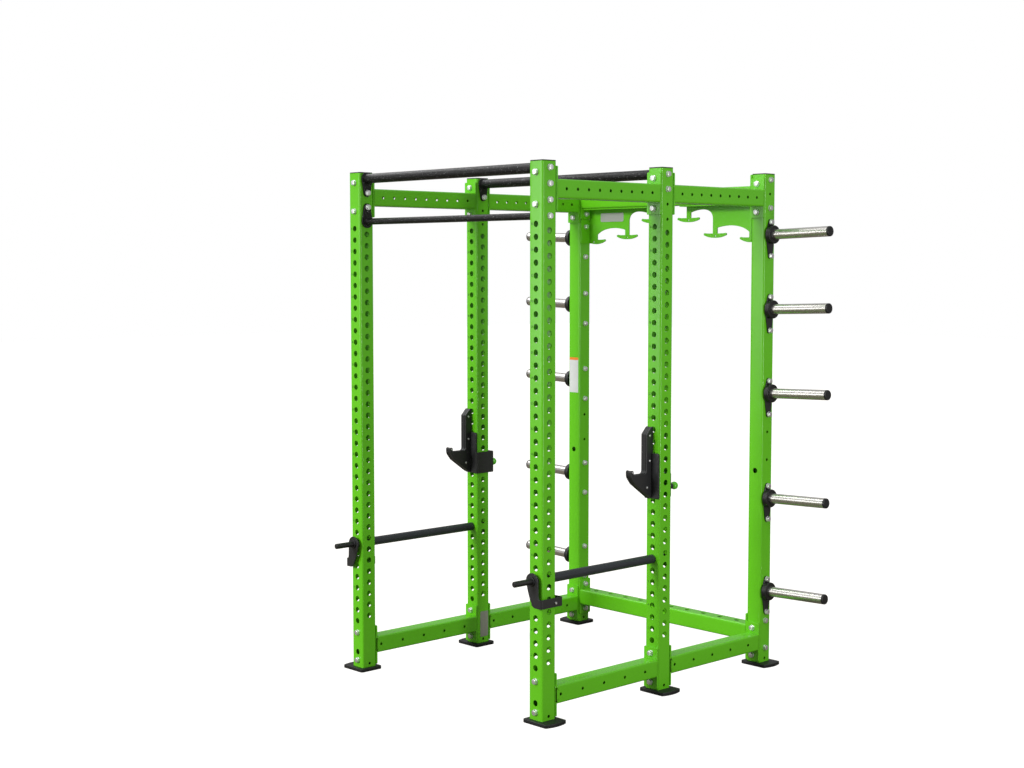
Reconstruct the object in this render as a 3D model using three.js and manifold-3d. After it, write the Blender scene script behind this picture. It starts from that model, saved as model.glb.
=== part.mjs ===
// A six-upright power cage with plate storage: square tube uprights on foot plates, bolted side
// beams and rear cross beams, pull-up bars, weight horns, hook plates for bands and bars, two
// sandwich J-cups with pull pins and two pin safeties with flip locks and spinning sleeves.
// Millimetres, +Z up. The origin is on the floor, in the middle of the overall footprint.
import * as THREE from 'three';
import { mergeVertices } from 'three/addons/utils/BufferGeometryUtils.js';
import Module from 'manifold-3d';

const wasm = await Module();
wasm.setup();

// Driving dimensions. Depths are measured from the centres of the front uprights.
const GAP = 0.3;                 // clearance between pieces that touch
const HEIGHT = 2222;             // floor to the top of the caps
const SPAN = 1150;               // between the centres of a left and a right upright
const BAY = 687.5;               // between the centres of two uprights of one side
const TUBE = 75;                 // square tube of uprights and beams
const WALL = 3;
const CORNER = 8;                // outer corner radius of the tubes
const PIN_HOLE = 25;             // diameter of the big holes in the uprights
const LADDER = { pitch: 50, lowest: 225, highest: 1975 };
const LADDER_ROWS = ['front', 'middle'];
const HALF = TUBE / 2;
const SIDE_X = SPAN / 2;         // centre of the right uprights
const INNER_X = SIDE_X - HALF;   // inner face of the right uprights
const OUTER_X = SIDE_X + HALF;   // outer face of the right uprights
const SIDES = { right: 1, left: -1 };
const ROWS = { front: 0, middle: BAY, rear: 2 * BAY };

const FOOT = { thick: 15, halfDepth: 58, inner: 55, flat: 78, bulge: 90, corner: 12 };
const CAP = { flange: 4, plug: 18, slack: 0.6 };
const END_PLATE = { thick: 8, tall: 175 };
const BEAM_Z = { sideTop: 2113, sideBase: 109, rearTop: 2131, rearBase: 142 };
const DRAIN_HOLE = 9;

const BAR_WALL = 3;
const BARS = [
  { name: 'bar_front_upper', row: 'front', z: 2193.5, diameter: 42 },
  { name: 'bar_front_lower', row: 'front', z: 2006, diameter: 28 },
  { name: 'bar_middle_upper', row: 'middle', z: 2193.5, diameter: 42 },
];
const BOLT_PITCH = 62.5;         // bolt of a bar's end plate to the bar's axis
const TEARDROP = { large: 28, small: 17 };

const HORN = {
  bracket: { boltRadius: 13, axisRadius: 29, thick: 7, boltPitch: 150 },
  axisBelowBolt: 55,
  disc: { diameter: 82, thick: 23 },
  sleeve: { diameter: 45, wall: 3 },
  tipX: 943,
  tilt: THREE.MathUtils.degToRad(1.85),
  topBoltZ: [2006, 1673, 1296, 821, 396],
};

const HOOK_PLATE = {
  face: 2 * BAY + 25,            // front face of the plate
  thick: 6,
  flangeFront: 2 * BAY - 30,     // front edge of the flange under the beam
  sideFlange: { front: 2 * BAY - 35, bottom: 1922, top: 2042 },
  top: BEAM_Z.rearTop - HALF - GAP,
  holes: [[115, 2026], [277.5, 1950], [503, 1930]],
  holeDiameter: 8,
};

const SAFETY = {
  z: 575,
  rod: { diameter: 24, front: -155, rear: BAY + HALF + 8 },
  boss: { diameter: 40, front: -64, rear: -38 },
  strap: { front: -59, rear: -53.5, head: 33, tailZ: 470, cornerZ: 506 },
  sidePlate: { inner: 47.5, outer: 53, rear: 64 },       // offsets from the upright's centre
  rearReturn: { front: 58.5, inner: -1.5 },
  latchPin: { y: 20, z: 486, radius: 5, proud: 7 },
  sleeve: { outer: 38, bore: 28, front: HALF + 1, rear: BAY - HALF - 1 },
};

const CUP = {
  top: 1137,
  saddle: 940,                   // floor of the saddle
  saddleFront: 110,              // distances forward of the upright's front face
  saddleBack: 40,
  lip: { x: 127.5, z: 953, radius: 8 },
  plates: [[-32, -26], [-6, 0]],
  linerRange: [-25.7, -6.3],
  flange: { x: [-37, 38], y: [-47, -HALF - 0.5], z: [834, 1026] },
  wrap: { inner: HALF + 1, outer: HALF + 8, z: [832, 932], rear: 64.5, thick: 6, past: 12 },
  peg: { diameter: 22, z: 975, rear: -10 },
};
const PULL_PIN = {
  z: 875,
  nose: { diameter: 16, front: 24, rear: 47 },
  shank: { diameter: 8, rear: 92 },
  housing: { outer: 24, bore: 17.2, front: 40, rear: 80, lip: 3, lipBore: 9.2 },
  knob: { radius: 17, y: 97.5 },
  spring: { wire: 1.3, mean: 12.6, turns: 4, pitch: 1.5 },
};
const NAME_PLATE = { y: [BAY - 20, BAY + 30], z: [43, 165], thick: 1 };

const HANDLE_END = SAFETY.rod.front;
const REAR_END = 2 * BAY + FOOT.halfDepth;
const MID_DEPTH = (HANDLE_END + REAR_END) / 2;

const GREEN = new THREE.MeshStandardMaterial({ color: '#6cc63a', roughness: 0.38, metalness: 0 });
const BLACK = new THREE.MeshStandardMaterial({ color: '#1b1c1e', roughness: 0.5, metalness: 0 });
const PLASTIC = new THREE.MeshStandardMaterial({ color: '#141414', roughness: 0.6, metalness: 0 });
const CHROME = new THREE.MeshStandardMaterial({ color: '#d5d8da', roughness: 0.12, metalness: 1 });
const STEEL = new THREE.MeshStandardMaterial({ color: '#a9acae', roughness: 0.35, metalness: 1 });
const KNOB = new THREE.MeshStandardMaterial({ color: '#5fc62c', roughness: 0.25, metalness: 0 });
const PLATE = new THREE.MeshStandardMaterial({ color: '#9b9c9a', roughness: 0.5, metalness: 0 });

// A closed three.js geometry as a solid: shared corners merged, flat slivers dropped.
function solid(geometry, matrix = new THREE.Matrix4()) {
  const bare = geometry.clone().applyMatrix4(matrix);
  bare.deleteAttribute('normal');
  bare.deleteAttribute('uv');
  const merged = mergeVertices(bare, 1e-4);
  const corners = merged.index.array;
  const triVerts = [];
  for (let i = 0; i < corners.length; i += 3) {
    const [a, b, c] = corners.slice(i, i + 3);
    if (a !== b && b !== c && c !== a) triVerts.push(a, b, c);
  }
  return new wasm.Manifold(new wasm.Mesh({
    numProp: 3,
    vertProperties: Float32Array.from(merged.attributes.position.array),
    triVerts: Uint32Array.from(triVerts),
  }));
}

// A box between two corners, given as a range on each axis.
function block(x, y, z) {
  const size = [x, y, z].map(([from, to]) => Math.abs(to - from));
  const middle = [x, y, z].map(([from, to]) => (from + to) / 2);
  return solid(new THREE.BoxGeometry(...size).translate(...middle));
}

// A round rod along an axis; centre holds its place on the other two axes, in x, y, z order.
function rod(axis, centre, [from, to], diameter, sides = 24) {
  const geometry = new THREE.CylinderGeometry(diameter / 2, diameter / 2, to - from, sides);
  if (axis === 'x') geometry.rotateZ(-Math.PI / 2);
  if (axis === 'z') geometry.rotateX(Math.PI / 2);
  const place = [...centre];
  place.splice('xyz'.indexOf(axis), 0, (from + to) / 2);
  return solid(geometry.translate(...place));
}

// A flat outline pushed along the axis that it doesn't name.
function extrude(shape, plane, [from, to], curveSegments = 3) {
  const geometry = new THREE.ExtrudeGeometry(shape, {
    depth: to - from,
    bevelEnabled: false,
    curveSegments,
  });
  const turn = new THREE.Matrix4();
  const [x, y, z] = [[1, 0, 0], [0, 1, 0], [0, 0, 1]].map((v) => new THREE.Vector3(...v));
  if (plane === 'yz') turn.makeBasis(y, z, x).setPosition(from, 0, 0);
  if (plane === 'xz') turn.makeBasis(x, z, y.negate()).setPosition(0, to, 0);
  if (plane === 'xy') turn.setPosition(0, 0, from);
  return solid(geometry, turn);
}

// A square with rounded corners around a point.
function roundedSquare(side, radius, u = 0, v = 0) {
  const h = side / 2;
  const c = h - radius;
  const shape = new THREE.Shape();
  shape.absarc(u + c, v + c, radius, 0, Math.PI / 2);
  shape.absarc(u - c, v + c, radius, Math.PI / 2, Math.PI);
  shape.absarc(u - c, v - c, radius, Math.PI, 1.5 * Math.PI);
  shape.absarc(u + c, v - c, radius, 1.5 * Math.PI, 2 * Math.PI);
  shape.closePath();
  return shape;
}

// Square tube with open ends, around a point of the plane that it is pushed out of.
function squareTube(plane, u, v, range) {
  const section = roundedSquare(TUBE, CORNER, u, v);
  section.holes.push(roundedSquare(TUBE - 2 * WALL, CORNER - WALL, u, v));
  return extrude(section, plane, range, 1);
}

const cage = new THREE.Group();
cage.position.y = -MID_DEPTH;

// Adds a solid to the cage as a named mesh; side -1 makes its mirror image in x.
function part(name, body, material, side = 1) {
  const { vertProperties, triVerts } = body.getMesh();
  const geometry = new THREE.BufferGeometry();
  geometry.setAttribute('position', new THREE.BufferAttribute(vertProperties, 3));
  geometry.setIndex(new THREE.BufferAttribute(triVerts, 1));
  if (side < 0) {
    geometry.scale(-1, 1, 1);
    geometry.index.array.reverse();
  }
  geometry.computeVertexNormals();
  const mesh = new THREE.Mesh(geometry, material);
  mesh.name = name;
  cage.add(mesh);
}

// Upright: hollow tube, with a ladder of holes from front to back where attachments hang.
// Holes that hold one of the cage's own pins are finer, so that the pin turns and slides freely.
function upright(y, ladder, pinHeights) {
  let tube = squareTube('xy', SIDE_X, y, [FOOT.thick, HEIGHT - CAP.flange - GAP]);
  const through = [y - HALF - 1, y + HALF + 1];
  for (let z = LADDER.lowest; ladder && z <= LADDER.highest; z += LADDER.pitch) {
    const sides = pinHeights.includes(z) ? 24 : 6;
    tube = tube.subtract(rod('y', [SIDE_X, z], through, PIN_HOLE, sides));
  }
  return tube;
}

// Foot plate: square with round corners towards the inside, a bulging arc on the outside.
function foot(y) {
  const { halfDepth, inner, flat, bulge, corner } = FOOT;
  const rise = bulge - flat;
  const radius = (halfDepth ** 2 + rise ** 2) / (2 * rise);
  const reach = Math.asin(halfDepth / radius);
  const cornerX = SIDE_X - inner + corner;
  const shape = new THREE.Shape();
  shape.absarc(SIDE_X + bulge - radius, y, radius, -reach, reach);
  shape.absarc(cornerX, y + halfDepth - corner, corner, Math.PI / 2, Math.PI);
  shape.absarc(cornerX, y - halfDepth + corner, corner, Math.PI, 1.5 * Math.PI);
  shape.closePath();
  return extrude(shape, 'xy', [0, FOOT.thick - GAP], 4);
}

// Cap: a thin flange on top of the tube and a plug inside it.
function cap(y) {
  const under = HEIGHT - CAP.flange;
  const plugSide = TUBE - 2 * WALL - CAP.slack;
  const flange = extrude(roundedSquare(TUBE, CORNER, SIDE_X, y), 'xy', [under, HEIGHT], 1);
  const plugShape = roundedSquare(plugSide, CORNER - WALL, SIDE_X, y);
  return flange.add(extrude(plugShape, 'xy', [under - CAP.plug, under + 1], 1));
}

const PIN_HEIGHTS = [SAFETY.z, CUP.peg.z, PULL_PIN.z];
for (const [row, y] of Object.entries(ROWS)) {
  for (const [side, sign] of Object.entries(SIDES)) {
    part(`upright_${row}_${side}`, upright(y, LADDER_ROWS.includes(row), PIN_HEIGHTS), GREEN, sign);
    part(`foot_${row}_${side}`, foot(y), BLACK, sign);
    part(`cap_${row}_${side}`, cap(y), PLASTIC, sign);
  }
}

// Beam: a tube between two tall bolting plates, with a drain hole so that it isn't sealed.
function sideBeam(y, z) {
  const from = y + HALF + GAP;
  const to = y + BAY - HALF - GAP;
  const x = [SIDE_X - HALF, SIDE_X + HALF];
  const tall = [z - END_PLATE.tall / 2, z + END_PLATE.tall / 2];
  const middle = (from + to) / 2;
  return squareTube('xz', SIDE_X, z, [from + 1, to - 1])
    .add(block(x, [from, from + END_PLATE.thick], tall))
    .add(block(x, [to - END_PLATE.thick, to], tall))
    .subtract(rod('x', [middle, z], [x[0] - 1, x[1] + 1], DRAIN_HOLE, 8));
}
const BAYS = { front: 0, rear: BAY };
for (const [bay, y] of Object.entries(BAYS)) {
  for (const [side, sign] of Object.entries(SIDES)) {
    part(`top_beam_${bay}_${side}`, sideBeam(y, BEAM_Z.sideTop), GREEN, sign);
    part(`base_beam_${bay}_${side}`, sideBeam(y, BEAM_Z.sideBase), GREEN, sign);
  }
}

// Cross beam: the same build, between the inner faces of the two rear uprights.
function crossBeam(z) {
  const end = INNER_X - GAP;
  const y = [ROWS.rear - HALF, ROWS.rear + HALF];
  const tall = [z - END_PLATE.tall / 2, z + END_PLATE.tall / 2];
  return squareTube('yz', ROWS.rear, z, [1 - end, end - 1])
    .add(block([-end, END_PLATE.thick - end], y, tall))
    .add(block([end - END_PLATE.thick, end], y, tall))
    .subtract(rod('y', [0, z], [y[0] - 1, y[1] + 1], DRAIN_HOLE, 8));
}
part('cross_beam_top', crossBeam(BEAM_Z.rearTop), GREEN);
part('cross_beam_base', crossBeam(BEAM_Z.rearBase), GREEN);

// Pull-up bar: a tube welded into teardrop plates, each with a bolt below or above the bar.
function teardrop(y, z, boltZ) {
  const shape = new THREE.Shape();
  const up = Math.sign(boltZ - z);
  const lean = Math.asin((TEARDROP.large - TEARDROP.small) / Math.abs(boltZ - z));
  const large = [up * lean + (up < 0 ? 0 : Math.PI), up < 0 ? Math.PI - -lean : 2 * Math.PI - lean];
  const small = [large[1], large[0] + 2 * Math.PI];
  shape.absarc(y, z, TEARDROP.large, large[0], large[1]);
  shape.absarc(y, boltZ, TEARDROP.small, small[0], small[1]);
  shape.closePath();
  return shape;
}
function pullUpBar({ row, z, diameter }) {
  const y = ROWS[row];
  const end = INNER_X - GAP;
  const boltZ = z + (z > 2100 ? -BOLT_PITCH : BOLT_PITCH);
  const outline = teardrop(y, z, boltZ);
  return rod('x', [y, z], [1 - end, end - 1], diameter)
    .add(extrude(outline, 'yz', [-end, END_PLATE.thick - end], 5))
    .add(extrude(outline, 'yz', [end - END_PLATE.thick, end], 5))
    .subtract(rod('x', [y, z], [-end - 1, end + 1], diameter - 2 * BAR_WALL));
}
for (const bar of BARS) part(bar.name, pullUpBar(bar), BLACK);

// Weight horn: a bracket that tapers to its two bolts, a stop disc and a hollow sleeve that leans up.
function bracketOutline(y, topBolt) {
  const { bracket, axisBelowBolt } = HORN;
  const taper = bracket.axisRadius - bracket.boltRadius;
  const above = Math.asin(taper / axisBelowBolt);
  const below = Math.asin(taper / (bracket.boltPitch - axisBelowBolt));
  const axis = topBolt - axisBelowBolt;
  const shape = new THREE.Shape();
  shape.absarc(y, topBolt, bracket.boltRadius, above, Math.PI - above);
  shape.absarc(y, axis, bracket.axisRadius, Math.PI - above, Math.PI + below);
  shape.absarc(y, topBolt - bracket.boltPitch, bracket.boltRadius, Math.PI + below, 2 * Math.PI - below);
  shape.absarc(y, axis, bracket.axisRadius, -below, above);
  shape.closePath();
  return shape;
}
function horn(topBolt) {
  const { bracket, disc, sleeve, tilt } = HORN;
  const y = ROWS.rear;
  const face = OUTER_X + GAP;
  const root = face + bracket.thick;
  const axis = topBolt - HORN.axisBelowBolt;
  const length = (HORN.tipX - root - sleeve.diameter / 2 * Math.sin(tilt)) / Math.cos(tilt);
  const lean = new THREE.Matrix4().makeRotationY(-tilt).setPosition(root, y, axis);
  const along = (from, to, diameter) => {
    const geometry = new THREE.CylinderGeometry(diameter / 2, diameter / 2, to - from, 24);
    geometry.rotateZ(-Math.PI / 2).translate((from + to) / 2, 0, 0);
    return solid(geometry, lean);
  };
  const plate = extrude(bracketOutline(y, topBolt), 'yz', [face, root], 3);
  return plate
    .add(rod('x', [y, axis], [root - 1, root + disc.thick], disc.diameter, 32))
    .add(along(-1.5, length, sleeve.diameter))
    .subtract(along(disc.thick + 3, length + 5, sleeve.diameter - 2 * sleeve.wall));
}
for (const [side, sign] of Object.entries(SIDES)) {
  HORN.topBoltZ.forEach((z, i) => part(`horn_${side}_${i + 1}`, horn(z), CHROME, sign));
}

// Hook plate: a hanging plate whose lower edge steps down in two T hooks and one half hook.
function hookPlate() {
  const { face, thick, top, sideFlange } = HOOK_PLATE;
  const end = INNER_X - GAP - END_PLATE.thick - GAP;
  const outer = INNER_X - GAP;
  const shape = new THREE.Shape();
  shape.moveTo(103.5, top);
  shape.lineTo(103.5, 2037);
  shape.lineTo(57, 2037);
  shape.quadraticCurveTo(47.5, 2041, 47.5, 2034);
  shape.quadraticCurveTo(72, 2016, 115, 2016);
  shape.quadraticCurveTo(158, 2016, 181.5, 2034);
  shape.quadraticCurveTo(181.5, 2041, 172, 2037);
  shape.lineTo(129.5, 2037);
  shape.lineTo(129.5, 2062);
  shape.bezierCurveTo(160, 2073, 215, 2078, 250, 2055);
  shape.quadraticCurveTo(263.5, 2046, 263.5, 2028);
  shape.lineTo(263.5, 1962);
  shape.lineTo(219, 1962);
  shape.quadraticCurveTo(209.5, 1966, 209.5, 1959);
  shape.quadraticCurveTo(234, 1941, 277.5, 1941);
  shape.quadraticCurveTo(320, 1941, 344.5, 1959);
  shape.quadraticCurveTo(344.5, 1966, 335, 1962);
  shape.lineTo(289.5, 1962);
  shape.lineTo(289.5, 1987);
  shape.bezierCurveTo(340, 2001, 430, 2004, 477, 1966);
  shape.lineTo(477, 1941);
  shape.lineTo(429, 1942);
  shape.quadraticCurveTo(422.5, 1942, 422.5, 1936);
  shape.quadraticCurveTo(452, 1916, 500, 1920);
  shape.lineTo(outer - thick + 0.5, 1924);
  shape.lineTo(outer - thick + 0.5, sideFlange.top);
  shape.lineTo(end, sideFlange.top);
  shape.lineTo(end, top);
  shape.closePath();
  let plate = extrude(shape, 'xz', [face, face + thick], 5)
    .add(block([103.5, end], [HOOK_PLATE.flangeFront, face + thick], [top - thick, top]))
    .add(block([outer - thick, outer], [sideFlange.front, face + thick],
      [sideFlange.bottom, sideFlange.top]));
  for (const [x, z] of HOOK_PLATE.holes) {
    plate = plate.subtract(rod('y', [x, z], [face - 1, face + thick + 1], HOOK_PLATE.holeDiameter, 8));
  }
  return plate;
}
for (const [side, sign] of Object.entries(SIDES)) {
  part(`hook_plate_${side}`, hookPlate(), GREEN, sign);
}

// Safety pin: a long rod with a welded disc, and a strap that folds round the upright as a lock.
function safetyPin() {
  const { z, strap, sidePlate, rearReturn, latchPin, boss } = SAFETY;
  const inner = SIDE_X + sidePlate.inner;
  const outer = SIDE_X + sidePlate.outer;
  const shape = new THREE.Shape();
  shape.absarc(SIDE_X, z, strap.head, 0, Math.PI + 0.35);
  shape.lineTo(SIDE_X - 7, z - 74);
  shape.quadraticCurveTo(SIDE_X + 4, strap.tailZ, SIDE_X + 22, strap.tailZ);
  shape.lineTo(outer, strap.tailZ);
  shape.lineTo(outer, strap.cornerZ);
  shape.quadraticCurveTo(SIDE_X + 36, strap.cornerZ, SIDE_X + 35, z - 50);
  shape.closePath();
  const band = [strap.tailZ, strap.cornerZ];
  return rod('y', [SIDE_X, z], [SAFETY.rod.front, SAFETY.rod.rear], SAFETY.rod.diameter)
    .add(rod('y', [SIDE_X, z], [boss.front, boss.rear], boss.diameter))
    .add(extrude(shape, 'xz', [strap.front, strap.rear]))
    .add(block([inner, outer], [strap.front, sidePlate.rear], band))
    .add(block([SIDE_X + rearReturn.inner, outer], [rearReturn.front, sidePlate.rear], band))
    .add(rod('x', [latchPin.y, latchPin.z], [outer - 1, outer + latchPin.proud],
      2 * latchPin.radius, 12));
}
function safetySleeve() {
  const { sleeve, z } = SAFETY;
  const centre = [SIDE_X, z];
  return rod('y', centre, [sleeve.front, sleeve.rear], sleeve.outer)
    .subtract(rod('y', centre, [sleeve.front - 1, sleeve.rear + 1], sleeve.bore));
}
for (const [side, sign] of Object.entries(SIDES)) {
  part(`safety_pin_${side}`, safetyPin(), BLACK, sign);
  part(`safety_sleeve_${side}`, safetySleeve(), PLASTIC, sign);
}

// Side outline of a J-cup, grown or shrunk by a margin at its saddle; y runs back.
function cupOutline(back, proud = 0) {
  const y = (d) => ROWS.middle - HALF - d;
  const { top, saddle, saddleBack, saddleFront, lip } = CUP;
  const corner = 14;
  const wall = saddleBack + proud;
  const floor = saddle + proud;
  const shape = new THREE.Shape();
  shape.moveTo(y(back), top);
  shape.lineTo(y(12), top);
  shape.lineTo(y(wall), top - 30);
  shape.lineTo(y(wall), floor + corner);
  shape.quadraticCurveTo(y(wall), floor, y(wall + corner), floor);
  shape.lineTo(y(saddleFront - proud), floor);
  shape.quadraticCurveTo(y(lip.x - lip.radius - proud), floor, y(lip.x - lip.radius - proud), lip.z);
  shape.absarc(y(lip.x), lip.z, lip.radius - proud, 0, Math.PI);
  shape.lineTo(y(lip.x + lip.radius), saddle + 10);
  shape.quadraticCurveTo(y(134), 920, y(109), 901);
  shape.lineTo(y(19), 839);
  shape.lineTo(y(back), 836);
  shape.closePath();
  return shape;
}
function cupBracket(side) {
  const { flange, wrap, peg, plates } = CUP;
  const x = SIDE_X * side;
  const y = ROWS.middle;
  const inner = (a, b) => [x - side * a, x - side * b];
  const rear = [y + wrap.rear - wrap.thick, y + wrap.rear];
  let body = block([x + flange.x[0], x + flange.x[1]], [y + flange.y[0], y + flange.y[1]], flange.z);
  for (const [from, to] of plates) {
    body = body.add(extrude(cupOutline(1), 'yz', [x + from, x + to], 4));
  }
  return body
    .add(block(inner(flange.x[1] - 8, wrap.outer), [y + flange.y[0], y + flange.y[1]], wrap.z))
    .add(block(inner(wrap.inner, wrap.outer), [y + flange.y[0], rear[1]], wrap.z))
    .add(block(inner(-wrap.past, wrap.outer), rear, wrap.z))
    .add(rod('y', [x, peg.z], [y + flange.y[0] + 1, y + peg.rear], peg.diameter))
    .subtract(rod('y', [x, PULL_PIN.z], [rear[0] - 1, rear[1] + 1], PULL_PIN.housing.outer + 2 * GAP));
}
function cupLiner(side) {
  const x = SIDE_X * side;
  const front = ROWS.middle + CUP.flange.y[0];
  const behind = [front - GAP, ROWS.middle];
  return extrude(cupOutline(1, 1.5), 'yz', [x + CUP.linerRange[0], x + CUP.linerRange[1]], 4)
    .subtract(block([x - HALF, x + HALF], behind, [CUP.flange.z[0] - 10, CUP.flange.z[1] + GAP]));
}

// Pull pin: nose and shank, housing with a rear lip, coil spring and ball knob.
function pinHousing(x) {
  const { housing, z } = PULL_PIN;
  const y = ROWS.middle;
  return rod('y', [x, z], [y + housing.front, y + housing.rear], housing.outer)
    .subtract(rod('y', [x, z], [y + housing.front - 1, y + housing.rear - housing.lip], housing.bore))
    .subtract(rod('y', [x, z], [y + housing.front, y + housing.rear + 1], housing.lipBore, 16));
}
function pullPin(x) {
  const { nose, shank, z } = PULL_PIN;
  const y = ROWS.middle;
  return rod('y', [x, z], [y + nose.front, y + nose.rear], nose.diameter)
    .add(rod('y', [x, z], [y + nose.rear - 1, y + shank.rear], shank.diameter, 16));
}
function knob(x) {
  const { shank, z } = PULL_PIN;
  const y = ROWS.middle;
  const ball = new THREE.SphereGeometry(PULL_PIN.knob.radius, 16, 10);
  return solid(ball.translate(x, y + PULL_PIN.knob.y, z))
    .subtract(rod('y', [x, z], [y + 60, y + shank.rear + GAP], shank.diameter + 2 * GAP, 16));
}
class Helix extends THREE.Curve {
  constructor(x) {
    super();
    this.x = x;
  }

  getPoint(t, target = new THREE.Vector3()) {
    const { mean, turns, pitch, wire } = PULL_PIN.spring;
    const angle = 2 * Math.PI * turns * t;
    const start = ROWS.middle + PULL_PIN.nose.rear + wire / 2 + GAP;
    return target.set(
      this.x + mean / 2 * Math.cos(angle),
      start + turns * pitch * t,
      PULL_PIN.z + mean / 2 * Math.sin(angle),
    );
  }
}
function spring(x) {
  const { wire, turns } = PULL_PIN.spring;
  const section = new THREE.Shape(new THREE.EllipseCurve(0, 0, wire / 2, wire / 2).getPoints(5).slice(0, 5));
  return solid(new THREE.ExtrudeGeometry(section, {
    steps: 9 * turns,
    bevelEnabled: false,
    extrudePath: new Helix(x),
  }));
}
for (const [side, sign] of Object.entries(SIDES)) {
  const x = SIDE_X * sign;
  part(`jcup_bracket_${side}`, cupBracket(sign), BLACK);
  part(`jcup_liner_${side}`, cupLiner(sign), PLASTIC);
  part(`pin_housing_${side}`, pinHousing(x), BLACK);
  part(`pull_pin_${side}`, pullPin(x), STEEL);
  part(`pin_spring_${side}`, spring(x), STEEL);
  part(`pin_knob_${side}`, knob(x), KNOB);
}

// Blank plate on the inner face of the middle left upright.
const plateX = -INNER_X + GAP;
part('name_plate', block([plateX, plateX + NAME_PLATE.thick], NAME_PLATE.y, NAME_PLATE.z), PLATE);

export default cage;
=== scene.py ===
"""The looks of a powder-coated power cage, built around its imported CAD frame.

Lengths are millimetres in the frame's own axes: +X right, -Y front, +Z up. They become metres where
a mesh is made. Each piece is a surface worked out with numpy that stands for the CAD node it covers.
"""
from math import asin, cos, hypot, pi, radians, sin

import bmesh
import bpy
import numpy as np
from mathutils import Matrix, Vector
from mathutils.geometry import delaunay_2d_cdt


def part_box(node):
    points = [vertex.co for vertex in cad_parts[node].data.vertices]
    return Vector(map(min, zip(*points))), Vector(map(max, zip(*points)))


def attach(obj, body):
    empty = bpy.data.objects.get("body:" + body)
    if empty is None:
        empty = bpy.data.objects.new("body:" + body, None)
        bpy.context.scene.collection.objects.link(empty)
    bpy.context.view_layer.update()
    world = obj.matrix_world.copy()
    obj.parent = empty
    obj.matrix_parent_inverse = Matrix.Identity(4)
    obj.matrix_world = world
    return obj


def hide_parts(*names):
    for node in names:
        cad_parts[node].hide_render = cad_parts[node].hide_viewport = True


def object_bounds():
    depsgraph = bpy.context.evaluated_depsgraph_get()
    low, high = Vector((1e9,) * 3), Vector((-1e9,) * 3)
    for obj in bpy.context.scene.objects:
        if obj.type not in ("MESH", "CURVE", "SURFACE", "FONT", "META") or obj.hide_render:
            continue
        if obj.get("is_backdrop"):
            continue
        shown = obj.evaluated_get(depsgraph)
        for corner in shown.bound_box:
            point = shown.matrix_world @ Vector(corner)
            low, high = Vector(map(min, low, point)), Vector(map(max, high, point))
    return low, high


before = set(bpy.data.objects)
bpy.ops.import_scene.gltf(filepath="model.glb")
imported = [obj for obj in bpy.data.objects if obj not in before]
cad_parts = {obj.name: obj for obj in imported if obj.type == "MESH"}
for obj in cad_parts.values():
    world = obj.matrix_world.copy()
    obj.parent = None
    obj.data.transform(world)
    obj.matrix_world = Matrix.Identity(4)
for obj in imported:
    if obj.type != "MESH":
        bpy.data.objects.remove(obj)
cad_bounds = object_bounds()

# Sizes of the cage.
TUBE = 75.0
HALF = TUBE / 2
WALL = 3.0
TUBE_CORNER = 8.0
PIN_HOLE = 25.0
LADDER_PITCH = 50.0
BEAM_BOLT = 62.5                # a beam's bolts sit this far above and below its middle
BEAM_LEVELS = {"top": 2113.0, "base": 109.0}  # middles of the side beams
END_PLATE = 8.0                 # thickness of a bolting plate
END_PLATE_TALL = 175.0
SMALL_HOLE = 13.0
SMALL_PITCH = 62.5              # between the small holes of an outer side beam
LONE_HOLE = 890.0               # the one big hole in a rear upright's front and back
GAP = 0.3
FOOT_FLAT = 78.0                # where a foot plate's outer arc starts, from the upright's centre
SIDES = {"right": 1, "left": -1}
ROWS = ("front", "middle", "rear")
X, Y, Z = np.eye(3)


def box_mm(node):
    """Lowest and highest corner of a CAD node, in millimetres."""
    low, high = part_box(node)
    return np.array(low) * 1000, np.array(high) * 1000


def middle_mm(node):
    """Middle of a CAD node's box, in millimetres."""
    return sum(box_mm(node)) / 2


UPRIGHTS = {(row, side): middle_mm(f"upright_{row}_{side}") for row in ROWS for side in SIDES}
ROW_Y = {row: UPRIGHTS[row, "right"][1] for row in ROWS}
SIDE_X = UPRIGHTS["front", "right"][0]
INNER_X = SIDE_X - HALF
OUTER_X = SIDE_X + HALF
TUBE_LOW, TUBE_HIGH = (box_mm("upright_front_right")[i][2] for i in (0, 1))

# ---------------------------------------------------------------- surfaces


def grid(points, loop=False):
    """Quads between the neighbours of a grid of points (rows, columns, 3); loop closes the columns."""
    rows, columns = points.shape[:2]
    row = np.arange(rows - 1)[:, None] * columns
    column = np.arange(columns if loop else columns - 1)[None, :]
    after = (column + 1) % columns
    quads = np.stack([row + column, row + after, row + columns + after, row + columns + column], -1)
    return points.reshape(-1, 3), quads.reshape(-1, 4)


def shell(patches):
    """Patches of (corners, quads) as one shell: equal corners become one, to a thousandth."""
    shifts = np.cumsum([0] + [len(corners) for corners, _ in patches[:-1]])
    corners = np.concatenate([corners for corners, _ in patches])
    quads = np.concatenate([quads + shift for (_, quads), shift in zip(patches, shifts)])
    key = np.round(corners + 1.23e-4, 3)
    _, first, index = np.unique(key, axis=0, return_index=True, return_inverse=True)
    return corners[first], index.reshape(-1)[quads]


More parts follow.
